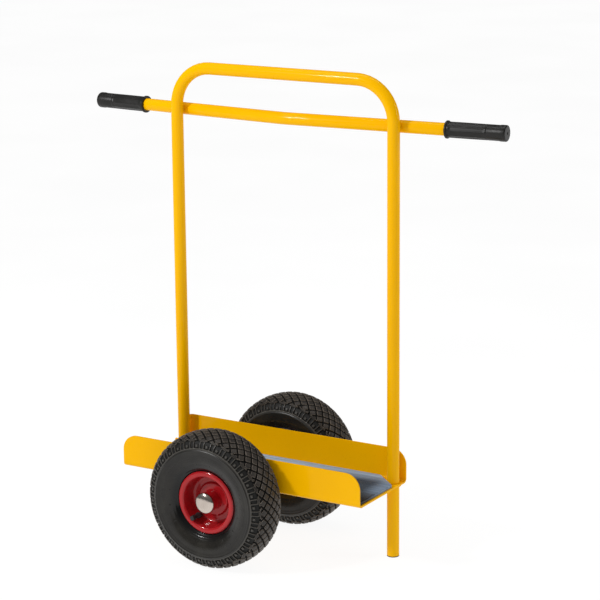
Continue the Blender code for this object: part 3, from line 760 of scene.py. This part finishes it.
def makeAxleWeld(word, side):
    low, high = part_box(word + "_axle_weld")
    radius = axleRadius + gap
    top = high.z - axle.z
    first, last = asin((top - 0.6 * weld["leg"]) / radius), asin((top - gap) / radius)
    angles = [first + (last - first) * k / 6 for k in range(7)]
    face = [(radius * cos(angle), radius * sin(angle)) for angle in angles]
    rows = []
    count = 220
    for k in range(count + 1):
        y = low.y + (high.y - low.y) * k / count
        size = float(ripples(60, pi * k / count))
        far = face[0][0] + 0.6 * weld["leg"] * size
        belly = [(face[0][0] + (far - face[0][0]) * s + 0.0004 * size * sin(pi * s),
                  face[0][1] + (top - face[0][1]) * s) for s in (0.25, 0.5, 0.75)]
        section = face + [(face[-1][0], top), (far, top)] + belly[::-1]
        rows.append([(axle.x + side * a, y, axle.z + b) for a, b in section])
    mesh = gridMesh(word + "AxleWeld", np.array(rows), closeRows=False, capEnds=True)
    addPiece(word + "AxleWeld", mesh, "frame_yellow", "root", [word + "_axle_weld"])


# axle and what stays still on it

axleLow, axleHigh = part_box("axle")
axle = (axleLow + axleHigh) / 2
axleRadius = (axleHigh.z - axleLow.z) / 2
cap = {"sheet": 0.001, "brim": 0.0012}
ends = {"front": -1, "rear": 1}


def makeAxle():
    half = axleHigh.y
    corners = [(0, -half, 0), (axleRadius, -half, 0.001), (axleRadius, half, 0.001), (0, half, 0)]
    addPiece("axle", latheMesh("axle", rounded(corners)), "zinc", "root", ["axle"], tuple(axle))


def makeRing(name, node, soft):
    low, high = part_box(node)
    middle = (low + high) / 2
    half, outer, inner = (high.y - low.y) / 2, (high.z - low.z) / 2, axleRadius + gap
    corners = [(inner, -half, soft), (outer, -half, soft), (outer, half, soft), (inner, half, soft)]
    mesh = latheMesh(name, rounded(corners, closed=True))
    addPiece(name, mesh, "zinc", "root", [node], tuple(middle))


def makeAxleCap(end, side):  # a pressed dome with a short straight skirt
    low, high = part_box(end + "_axle_cap")
    outer, height = (high.z - low.z) / 2, high.y - low.y
    sheet = cap["sheet"]
    turns = [pi / 2 * k / 28 for k in range(29)]
    skirt = cap["brim"]
    dome = [(outer * sin(t) ** 0.94, skirt + (height - skirt) * cos(t)) for t in turns]
    under = [((outer - sheet) * sin(t) ** 0.94, skirt + (height - skirt - sheet) * cos(t)) for t in turns]
    rim = [(outer, 0.0003), (outer - 0.0003, 0), (outer - sheet + 0.0003, 0), (outer - sheet, 0.0003)]
    mesh = latheMesh(end + "AxleCap", dome + rim + under[::-1])
    base = (low + high) / 2
    base.y = low.y if side > 0 else high.y
    turn = (0, 0, 0 if side > 0 else pi)
    addPiece(end + "AxleCap", mesh, "cap_nickel", "root", [end + "_axle_cap"], tuple(base), turn)


# wheels: made once about their own middle, with Y pointing outward, then placed twice

tyreLow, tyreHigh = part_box("rear_tyre")
tyreRadius = (tyreHigh.z - tyreLow.z) / 2
halfWidth = (tyreHigh.y - tyreLow.y) / 2
tyre = {
    "diamonds": 42,  # round the crown
    "lugs": 32,  # round each shoulder
    "stepsPerLug": 24,
    "grooveWidth": 0.0024,
    "grooveDepth": 0.0040,
    "notchWidth": 0.0046,
    "notchDepth": 0.0038,
    "shoulder": 0.0340,  # where the diamonds end, across from the middle
    "lugStart": 0.0372,
    "lugEnd": 0.0520,
    "lugHeight": 0.0024,
    "padHalf": 0.0058,  # half the width of a lug
    "padEdge": 0.0022,  # round the pocket in it
    "blockHalf": 0.0026,  # half the width of the block between two lugs
    "blockLength": 0.0065,
    "fullRelief": 0.0030,  # a groove this deep is painted black, as shade
    "ventNubs": 16,
    "tube": 0.0605,
}
tyreWall = {
    "ridgeIn": 0.0285,  # below the crown
    "ridgeHeight": 0.0013,
    "ridgeWidth": 0.0011,
    "stepIn": 0.0320,
    "stepDepth": 0.0010,
    "beadRadius": 0.0665,
    "beadHeight": 0.0009,
    "beadWidth": 0.0010,
    "nubRadius": 0.0745,
    "nubHeight": 0.0011,
    "nubWidth": 0.0008,
}


def tyreOutside():  # the crown's middle to the bead, as (radius, y)
    r, w = tyreRadius, halfWidth
    shape = [(r, 0), (r - 0.0005, w - 0.0340), (r - 0.0012, w - 0.0280), (r - 0.0025, w - 0.0215)]
    shape += [(r - 0.0046, w - 0.0158), (r - 0.0078, w - 0.0108), (r - 0.0122, w - 0.0066)]
    shape += [(r - 0.0180, w - 0.0034), (r - 0.0255, w - 0.0010), (r - 0.0345, w), (r - 0.0435, w - 0.0008)]
    shape += [(r - 0.0525, w - 0.0036), (r - 0.0605, w - 0.0082), (r - 0.0665, w - 0.0126)]
    shape += [(r - 0.0698, w - 0.0156)]
    return smoothLine(shape)


def smoothLine(points, per=24):  # a curve through the points
    points = np.array(points)
    padded = np.vstack([2 * points[0] - points[1], points, 2 * points[-1] - points[-2]])
    if points[0, 1] == 0:  # starts on the middle plane, so it goes on as a mirror image
        padded[0] = (points[1, 0], -points[1, 1])
    out = []
    for i in range(len(points) - 1):
        a, b, c, d = padded[i:i + 4]
        for t in np.arange(per) / per:
            square = (2 * a - 5 * b + 4 * c - d) * t**2
            out.append(0.5 * (2 * b + (c - a) * t + square + (3 * b - a - 3 * c + d) * t**3))
    return np.array(out + [points[-1]])


def tyreHeights(around, across):  # how far the surface stands from the smooth outside
    pitch, cell = 2 * pi * tyreRadius / tyre["lugs"], 2 * pi * tyreRadius / tyre["diamonds"]
    u, v = around[:, None], np.abs(across)[None, :]
    first, second = (u + v) / cell, (u - v) / cell
    toGroove = np.minimum(abs((first + 0.5) % 1 - 0.5), abs((second + 0.5) % 1 - 0.5)) * cell / sqrt(2)
    soft = 0.0009
    diamonds = 1 - smooth((toGroove - tyre["grooveWidth"] / 2) / soft)
    aside = abs((u / pitch) % 1 - 0.5) * pitch
    notchHalf = tyre["notchWidth"] / 2
    notches = 1 - smooth((aside - notchHalf) / soft)
    past = smooth((v - tyre["shoulder"]) / 0.0015)
    notchFade = 1 - smooth((v - tyre["lugStart"] + 0.001) / 0.002)
    height = -tyre["grooveDepth"] * diamonds * (1 - past)
    height = height - tyre["notchDepth"] * notches * past * notchFade
    return height + lugHeights(u, v, pitch)


def lugHeights(u, v, pitch):  # outlined pads on the shoulder, with a small block between each two
    start, end, soft = tyre["lugStart"], tyre["lugEnd"], 0.0005
    near = abs((u / pitch + 0.5) % 1 - 0.5) * pitch
    aside = abs((u / pitch) % 1 - 0.5) * pitch
    zone = smooth((v - start + soft) / soft) * (1 - smooth((v - end) / 0.0015))
    half, edge = tyre["padHalf"], tyre["padEdge"]
    pad = smooth((half - near) / soft + 1)
    pocket = smooth((half - edge - near) / soft) * smooth((v - start - edge) / soft)
    block = smooth((tyre["blockHalf"] - aside) / soft + 1)
    block = block * smooth((v - end + tyre["blockLength"]) / soft) * (1 - smooth((v - end + 0.0015) / soft))
    raised = np.maximum(pad * (1 - pocket), block)
    return -tyre["lugHeight"] * zone * (1 - raised)


def wallHeights(around, line):  # a thin ridge, a step and the mould's vent nubs on each wall
    radius = line[:, 0][None, :]
    side = (np.abs(line[:, 1]) > halfWidth * 0.5)[None, :]
    ridgeAt, nubAt = tyreRadius - tyreWall["ridgeIn"], tyreWall["nubRadius"]
    ridge = tyreWall["ridgeHeight"] * np.exp(-((radius - ridgeAt) / tyreWall["ridgeWidth"]) ** 2)
    step = smooth((tyreRadius - tyreWall["stepIn"] - radius) / 0.004) * smooth((radius - 0.070) / 0.006)
    bead = tyreWall["beadHeight"] * np.exp(-((radius - tyreWall["beadRadius"]) / tyreWall["beadWidth"]) ** 2)
    pitch = 2 * pi / tyre["ventNubs"]
    turn = abs((around[:, None] / tyreRadius / pitch) % 1 - 0.5) * pitch * nubAt
    nub = tyreWall["nubHeight"] * np.exp(-(turn**2 + (radius - nubAt) ** 2) / tyreWall["nubWidth"] ** 2)
    return (ridge - tyreWall["stepDepth"] * step + bead + nub) * side


def makeTyreMesh():
    half = tyreOutside()
    lengths = np.concatenate([[0], np.cumsum(np.hypot(*np.diff(half, axis=0).T))])
    total = lengths[-1]
    stops = np.concatenate([np.arange(0, 0.0560, 0.0008), np.arange(0.0565, total - 0.001, 0.0018), [total]])
    r, y = np.interp(stops, lengths, half[:, 0]), np.interp(stops, lengths, half[:, 1])
    right = np.stack([r, y], axis=1)
    line = np.vstack([(right * (1, -1))[::-1][:-1], right])
    across = np.concatenate([-stops[::-1][:-1], stops])
    ways = np.gradient(line, axis=0)
    ways /= np.linalg.norm(ways, axis=1)[:, None]
    out = np.stack([ways[:, 1], -ways[:, 0]], axis=1)
    count = tyre["lugs"] * tyre["stepsPerLug"]
    around = 2 * pi * tyreRadius * np.arange(count) / count
    tread = tyreHeights(around, across)
    height = tread + wallHeights(around, line)
    outer = line[None] + out[None] * height[..., None]
    inside = tyreInside()
    profile = np.concatenate([outer, np.broadcast_to(inside, (count, *inside.shape))], axis=1)
    turns = around / tyreRadius
    points = np.stack([profile[..., 0] * np.cos(turns)[:, None], profile[..., 1],
                       profile[..., 0] * np.sin(turns)[:, None]], axis=-1)
    mesh = gridMesh("tyre", points)
    relief = np.zeros(points.shape[:2])
    relief[:, :len(line)] = np.clip(-tread / tyre["fullRelief"], 0, 1)
    mesh.attributes.new("relief", "FLOAT", "POINT").data.foreach_set("value", relief.ravel().astype(np.float32))
    return mesh


def tyreInside():  # from one bead round the air space to the other
    r, w = tyreRadius, halfWidth
    bead = [(0.0595, w - 0.0161), (0.0535, w - 0.0161), (0.0512, w - 0.0185)]
    bead += [(0.0508, w - 0.0200), (0.0508, w - 0.0235)]
    wall = [(0.0520, w - 0.0241), (0.0610, w - 0.0241), (0.0695, w - 0.0170), (0.0815, w - 0.0075)]
    wall += [(0.0930, w - 0.0050), (0.1045, w - 0.0072), (0.1115, w - 0.0125), (r - 0.0110, 0.0150)]
    half = bead + wall
    return np.array(half + [(r - 0.0096, 0)] + [(a, -b) for a, b in half[::-1]])


rim = {
    "sheet": 0.002,
    "lip": 0.0591,
    "lipPlane": 0.0305,
    "seat": 0.0495,
    "disc": 0.00115,
    "boss": 0.00515,
    "bossRadius": 0.0308,
    "dish": 0.011,  # radius of the bowl where disc turns into wall
}


def rimLine():
    disc, boss, plane = rim["disc"], rim["boss"], rim["lipPlane"]
    corners = [(hubRadius() + gap, boss, 0), (rim["bossRadius"] - 0.0012, boss, 0.0022)]
    corners += [(rim["bossRadius"] + 0.0012, disc, 0.0022), (rim["seat"] - 0.0030, disc, rim["dish"])]
    corners += [(rim["seat"], plane, 0.0040), (rim["lip"] - 0.0024, plane, 0.0030)]
    corners += [(rim["lip"] - 0.0005, plane - 0.0018, 0)]
    return rounded(corners)


def hubRadius():
    low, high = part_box("rear_hub_tube")
    return (high.z - low.z) / 2


def rimHalfMesh(side):
    mesh = latheMesh("rimHalf", [(r, side * y) for r, y in sheetOutline(rimLine(), rim["sheet"])], 128)
    if side > 0:
        path, _ = valvePath()
        rows, _ = tubeRings(path, valveSide(), valve["stem"] + gap, 32)
        mesh = applyCut(mesh, gridMesh("valveHole", rows, closeRows=False, capEnds=True))
    return mesh


def hubMesh():
    low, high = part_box("rear_hub_tube")
    half, outer = (high.y - low.y) / 2, hubRadius()
    bore = bearingRadius() + gap
    bead = rim["boss"] + rim["sheet"] / 2 + 0.0002
    corners = [(bore, -half, 0.0006), (outer, -half, 0.0008)]
    for side in (-1, 1):
        run = [(outer, side * (bead + 0.0024), 0.001), (outer + 0.0014, side * (bead + 0.0004), 0.0006)]
        run += [(outer + 0.0014, side * bead, 0), (outer, side * bead, 0)]
        corners += run if side < 0 else run[::-1]
    corners += [(outer, half, 0.0008), (bore, half, 0.0006)]
    return latheMesh("hubTube", rounded(corners, closed=True))


def bearingRadius():
    low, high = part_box("rear_outer_bearing")
    return (high.z - low.z) / 2


def bearingMesh():  # two rings with a recessed seal between them, at each end
    low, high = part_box("rear_outer_bearing")
    half, outer, inner = (high.y - low.y) / 2, bearingRadius(), axleRadius + gap
    thick = (outer - inner) * 0.30
    recess = 0.0008
    corners = [(inner, -half, 0.0003), (inner + thick, -half, 0.0002), (inner + thick, -half + recess, 0)]
    corners += [(outer - thick, -half + recess, 0), (outer - thick, -half, 0.0002), (outer, -half, 0.0004)]
    corners += [(r, -y, soft) for r, y, soft in corners[::-1]]
    return latheMesh("bearing", rounded(corners, closed=True))


def innerTubeMesh():
    low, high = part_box("rear_inner_tube")
    outer, wide = (high.z - low.z) / 2, (high.y - low.y) / 2
    middle, tall = (outer + tyre["tube"]) / 2, (outer - tyre["tube"]) / 2
    turns = [2 * pi * k / 48 for k in range(48)]
    return latheMesh("innerTube", [(middle + tall * cos(t), wide * sin(t)) for t in turns])


valve = {
    "turn": radians(-51),
    "radius": 0.042,
    "offset": 0.004,
    "bend": 0.009,
    "stem": 0.00425,
    "boot": 0.0058,
    "reach": 0.0285,
    "capRadius": 0.00475,
    "capLength": 0.009,
    "capRidges": 20,
}


def valveSide():
    out = Vector((cos(valve["turn"]), 0, sin(valve["turn"])))
    return tuple(out.cross(Vector((0, 1, 0))))


def valvePath():  # from the tube, round the bend and out along the axle, with a radius at each place
    out = Vector((cos(valve["turn"]), 0, sin(valve["turn"])))
    axial = Vector((0, 1, 0))
    bend, stem = valve["bend"], valve["stem"]
    centre = out * (valve["radius"] + bend) + axial * (valve["offset"] + bend)
    path = [out * (tyre["tube"] + 0.003) + axial * valve["offset"]]
    radii = [stem]
    for k in range(13):
        angle = pi / 2 * k / 12
        path.append(centre - out * bend * sin(angle) - axial * bend * cos(angle))
        radii.append(stem)
    straight = valve["offset"] + bend
    base = out * valve["radius"]
    steps = [(0.0004, stem), (0.0010, stem), (0.0016, valve["boot"] - 0.0004), (0.0022, valve["boot"])]
    steps += [(0.0036, valve["boot"]), (0.0046, valve["boot"] - 0.0005), (0.0060, stem + 0.0004)]
    steps += [(0.0085, stem), (0.0100, stem - 0.0005)]
    for y, radius in steps:
        path.append(base + axial * (straight + y))
        radii.append(radius)
    path.append(base + axial * valve["reach"])
    radii.append(stem - 0.0005)
    return path, radii


def valveStemMesh():
    path, radii = valvePath()
    rows, _ = tubeRings(path, valveSide(), radii, 48)
    return gridMesh("valveStem", rows, closeRows=False, capEnds=True)


def valveCapMesh():  # ridged round its side, with a soft end
    length, radius = valve["capLength"], valve["capRadius"]
    steps = valve["capRidges"] * 8
    turns = 2 * pi * np.arange(steps) / steps
    corners = [(0, 0, 0), (radius, 0, 0.0004), (radius, length, 0.0016), (0, length, 0)]
    profile = np.array(rounded(corners))
    inset = np.linspace(0.0012, length - 0.0022, 8)
    wall = np.stack([np.full(8, radius), inset], axis=1)
    cutAt = int(np.argmax(profile[:, 1] > 0.001))
    profile = np.vstack([profile[:cutAt], wall, profile[cutAt:]])
    ridged = smooth((profile[:, 1] - 0.0012) / 0.0006) * smooth((length - 0.0020 - profile[:, 1]) / 0.0006)
    shape = profile[None, :, 0] - 0.00035 * ridged * (0.5 - 0.5 * np.cos(turns * valve["capRidges"]))[:, None]
    points = np.stack([shape * np.cos(turns)[:, None], np.broadcast_to(profile[:, 1], shape.shape),
                       shape * np.sin(turns)[:, None]], axis=-1)
    return gridMesh("valveCap", points)


def makeWheels():
    shared = {
        "tyre": ("tyre", makeTyreMesh(), 50),
        "inner_tube": ("tube_rubber", innerTubeMesh(), 60),
        "rim_outer_half": ("rim_red", rimHalfMesh(1), 45),
        "rim_inner_half": ("rim_red", rimHalfMesh(-1), 45),
        "hub_tube": ("rim_red", hubMesh(), 45),
        "outer_bearing": ("zinc", bearingMesh(), 38),
        "valve_stem": ("valve_rubber", valveStemMesh(), 50),
        "valve_cap": ("valve_rubber", valveCapMesh(), 50),
    }
    shared["inner_bearing"] = shared["outer_bearing"]
    for end, side in ends.items():
        centre = middleOf(end + "_tyre")
        turn = 0 if side > 0 else pi
        for part, (slot, mesh, sharp) in shared.items():
            node = end + "_" + part
            name = end + "".join(word.capitalize() for word in part.split("_"))
            place = Vector(centre)
            if part.endswith("bearing"):
                place.y = middleOf(node).y
            if part == "valve_cap":
                x, z = valve["radius"] * cos(valve["turn"]), valve["radius"] * sin(valve["turn"])
                place += Vector((side * x, side * (valve["reach"] + gap), z))
            addPiece(name, mesh, slot, end + "_wheel", [node], tuple(place), (0, 0, turn), sharp)
        print(end, "wheel placed")


# everything, in order

setCamera()
setWorld()
setLights()
setFloor()
finishes = makeFinishes()
print("studio and finishes ready")

makePushFrame()
makeHandleBar()
makeFootPlug()
makeChannel()
makeMat()
for word, side in (("left", -1), ("right", 1)):
    makeGrip(word, side)
    makeLegWeld(word, side)
    makeHandleWeld(word, side)
    makeAxleWeld(word, side)
print("frame, handle and channel made")

makeAxle()
for end, side in ends.items():
    makeRing(end + "Spacer", end + "_spacer", 0.0005)
    makeRing(end + "InnerWasher", end + "_inner_washer", 0.0003)
    makeRing(end + "OuterWasher", end + "_outer_washer", 0.0003)
    makeAxleCap(end, side)
makeWheels()
print("axle and wheels made")
